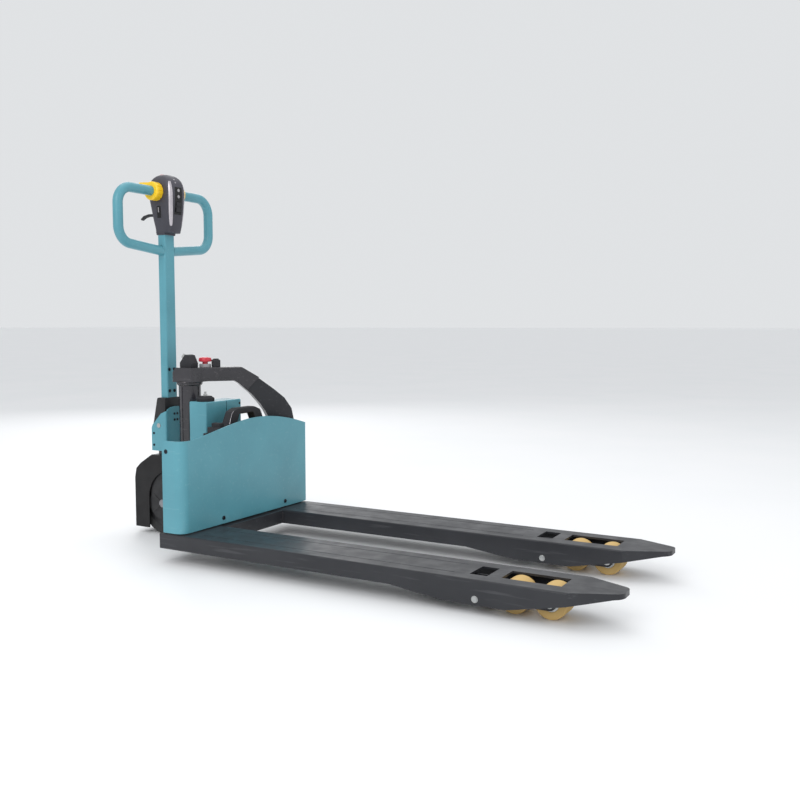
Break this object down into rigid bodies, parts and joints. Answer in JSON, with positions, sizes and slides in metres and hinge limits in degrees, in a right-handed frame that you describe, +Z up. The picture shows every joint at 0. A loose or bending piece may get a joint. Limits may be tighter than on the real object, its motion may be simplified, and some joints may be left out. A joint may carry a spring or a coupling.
{
  "type": "electric pallet truck",
  "caption": "Walk-behind electric pallet truck with two forks, a steered drive wheel under a tiller, a lifting carriage and load rollers on coupled arms.",
  "frame": {"origin": "on the floor, at the middle of the truck's length and width", "axes": "+X towards the fork tips, +Y towards the side where the gooseneck lands, +Z up"},
  "size_m": [1.555, 0.563, 1.068],
  "materials": {
    "teal_paint": "satin",
    "charcoal_paint": "satin",
    "black_plastic": "matte",
    "grey_plastic": "fine grain",
    "red_plastic": "gloss",
    "yellow_plastic": "gloss",
    "cast_black": "painted casting",
    "black_screw": "black oxide",
    "zinc": "zinc plated",
    "chrome_steel": "polished",
    "cylinder_steel": "drawn tube",
    "drive_rubber": "polyurethane, black",
    "amber_polyurethane": "satin, translucent amber"
  },
  "bodies": {
    "fork_frame": {"near_fork": "charcoal_paint", "far_fork": "charcoal_paint", "crossbeam": "charcoal_paint", "front_cover": "teal_paint", "cover_screws": "black_screw", "gooseneck_leg": "charcoal_paint", "gooseneck_head": "charcoal_paint", "guide_post": "charcoal_paint", "lift_ram": "chrome_steel", "battery_tray": "charcoal_paint", "battery_case": "black_plastic", "battery_handle": "black_plastic", "battery_plug": "black_plastic", "switch_body": "black_plastic", "estop_base": "grey_plastic", "charge_socket": "black_plastic", "arm_pins": "zinc"},
    "key": {"ignition_key": "zinc"},
    "estop": {"estop_button": "red_plastic"},
    "carriage": {"carriage_plate": "charcoal_paint", "steer_bearing": "zinc", "lift_cylinder": "cylinder_steel", "pump_cover": "teal_paint", "oil_tank": "grey_plastic", "pump_motor": "cast_black", "tank_cap": "black_plastic"},
    "steer_unit": {"steer_spindle": "zinc", "drive_yoke": "cast_black", "motor_stator": "cylinder_steel", "wheel_guard": "black_plastic", "tiller_bracket": "teal_paint", "bracket_screws": "black_screw", "tiller_pin": "zinc"},
    "drive_wheel": {"wheel_hub": "cast_black", "hub_cover": "cast_black", "drive_tyre": "drive_rubber"},
    "tiller": {"tiller_knuckle": "cast_black", "tiller_tube": "teal_paint", "handle_loop": "teal_paint", "pod_front_shell": "grey_plastic", "pod_rear_shell": "grey_plastic"},
    "throttle": {"throttle_knobs": "yellow_plastic"},
    "belly_switch": {"belly_button": "red_plastic"},
    "horn": {"horn_button": "black_plastic"},
    "speed_switch": {"speed_button": "black_plastic"},
    "lift_switch": {"lift_rocker": "black_plastic"},
    "lever": {"release_lever": "black_plastic"},
    "rocker": {"rocker_shaft": "charcoal_paint"},
    "near_rod": {"near_push_rod": "charcoal_paint"},
    "near_arm": {"near_load_arm": "charcoal_paint"},
    "near_bogie_set": {"near_bogie": "charcoal_paint", "near_bogie_pins": "zinc"},
    "near_front_wheel": {"near_front_roller": "amber_polyurethane"},
    "near_rear_wheel": {"near_rear_roller": "amber_polyurethane"},
    "far_rod": {"far_push_rod": "charcoal_paint"},
    "far_arm": {"far_load_arm": "charcoal_paint"},
    "far_bogie_set": {"far_bogie": "charcoal_paint", "far_bogie_pins": "zinc"},
    "far_front_wheel": {"far_front_roller": "amber_polyurethane"},
    "far_rear_wheel": {"far_rear_roller": "amber_polyurethane"}
  },
  "joints": [
    {"name": "lift", "type": "slide", "parent": "fork_frame", "child": "carriage", "axis": [0, 0, -1], "range_m": [0, 0.105]},
    {"name": "steer", "type": "hinge", "parent": "carriage", "child": "steer_unit", "pos_m": [-0.6745, 0, 0.095], "axis": [0, 0, 1], "range_deg": [-90, 90]},
    {"name": "wheel_spin", "type": "hinge", "parent": "steer_unit", "child": "drive_wheel", "pos_m": [-0.6745, 0, 0.095], "axis": [0, 1, 0], "continuous": true},
    {"name": "tiller_tilt", "type": "hinge", "parent": "steer_unit", "child": "tiller", "pos_m": [-0.6785, 0, 0.33], "axis": [0, -1, 0], "range_deg": [0, 75], "stiffness_Nm_per_rad": 12, "springref_deg": -28.65},
    {"name": "throttle_turn", "type": "hinge", "parent": "tiller", "child": "throttle", "pos_m": [-0.6745, 0, 1.015], "axis": [0, 1, 0], "range_deg": [-35, 35], "stiffness_Nm_per_rad": 0.6},
    {"name": "belly_press", "type": "slide", "parent": "tiller", "child": "belly_switch", "axis": [0, 0, -1], "range_m": [0, 0.006], "stiffness_N_per_m": 500, "springref_m": -0.002},
    {"name": "horn_press", "type": "slide", "parent": "tiller", "child": "horn", "axis": [-1, 0, 0], "range_m": [0, 0.002], "stiffness_N_per_m": 500, "springref_m": -0.001},
    {"name": "speed_press", "type": "slide", "parent": "tiller", "child": "speed_switch", "axis": [-1, 0, 0], "range_m": [0, 0.002], "stiffness_N_per_m": 500, "springref_m": -0.001},
    {"name": "lift_switch_tilt", "type": "hinge", "parent": "tiller", "child": "lift_switch", "pos_m": [-0.62886, 0, 0.971], "axis": [0, 1, 0], "range_deg": [-6, 6], "stiffness_Nm_per_rad": 0.3},
    {"name": "lever_pull", "type": "hinge", "parent": "tiller", "child": "lever", "pos_m": [-0.6925, -0.012, 0.95], "axis": [0, 1, 0], "range_deg": [-8, 8], "stiffness_Nm_per_rad": 0.6},
    {"name": "estop_press", "type": "slide", "parent": "fork_frame", "child": "estop", "axis": [0, 0, -1], "range_m": [0, 0.005], "stiffness_N_per_m": 800, "springref_m": -0.003},
    {"name": "key_turn", "type": "hinge", "parent": "fork_frame", "child": "key", "pos_m": [-0.6045, -0.002, 0.529], "axis": [-0.766, 0, 0.6428], "range_deg": [0, 90]},
    {"name": "rocker_swing", "type": "hinge", "parent": "fork_frame", "child": "rocker", "pos_m": [-0.4225, 0, 0.092], "axis": [0, -1, 0], "range_deg": [0, 60.05]},
    {"name": "near_rod_push", "type": "slide", "parent": "fork_frame", "child": "near_rod", "axis": [1, 0, 0], "range_m": [0, 0.02992]},
    {"name": "near_arm_swing", "type": "hinge", "parent": "fork_frame", "child": "near_arm", "pos_m": [0.46354, -0.205, 0.034], "axis": [0, 1, 0], "range_deg": [0, 64.53]},
    {"name": "near_bogie_level", "type": "hinge", "parent": "near_arm", "child": "near_bogie_set", "pos_m": [0.578, -0.205, 0.037], "axis": [0, -1, 0], "range_deg": [0, 64.53]},
    {"name": "near_front_spin", "type": "hinge", "parent": "near_bogie_set", "child": "near_front_wheel", "pos_m": [0.6205, -0.205, 0.037], "axis": [0, 1, 0], "continuous": true},
    {"name": "near_rear_spin", "type": "hinge", "parent": "near_bogie_set", "child": "near_rear_wheel", "pos_m": [0.5355, -0.205, 0.037], "axis": [0, 1, 0], "continuous": true},
    {"name": "far_rod_push", "type": "slide", "parent": "fork_frame", "child": "far_rod", "axis": [1, 0, 0], "range_m": [0, 0.02992]},
    {"name": "far_arm_swing", "type": "hinge", "parent": "fork_frame", "child": "far_arm", "pos_m": [0.46354, 0.205, 0.034], "axis": [0, 1, 0], "range_deg": [0, 64.53]},
    {"name": "far_bogie_level", "type": "hinge", "parent": "far_arm", "child": "far_bogie_set", "pos_m": [0.578, 0.205, 0.037], "axis": [0, -1, 0], "range_deg": [0, 64.53]},
    {"name": "far_front_spin", "type": "hinge", "parent": "far_bogie_set", "child": "far_front_wheel", "pos_m": [0.6205, 0.205, 0.037], "axis": [0, 1, 0], "continuous": true},
    {"name": "far_rear_spin", "type": "hinge", "parent": "far_bogie_set", "child": "far_rear_wheel", "pos_m": [0.5355, 0.205, 0.037], "axis": [0, 1, 0], "continuous": true}
  ],
  "couplings": [
    {"joint": "rocker_swing", "follows": "lift", "rad_per_m": 9.9733},
    {"joint": "near_rod_push", "follows": "lift", "ratio": 0.28451},
    {"joint": "near_arm_swing", "follows": "lift", "rad_per_m": 10.718},
    {"joint": "near_bogie_level", "follows": "lift", "rad_per_m": 10.718},
    {"joint": "far_rod_push", "follows": "lift", "ratio": 0.28451},
    {"joint": "far_arm_swing", "follows": "lift", "rad_per_m": 10.718},
    {"joint": "far_bogie_level", "follows": "lift", "rad_per_m": 10.718}
  ]
}
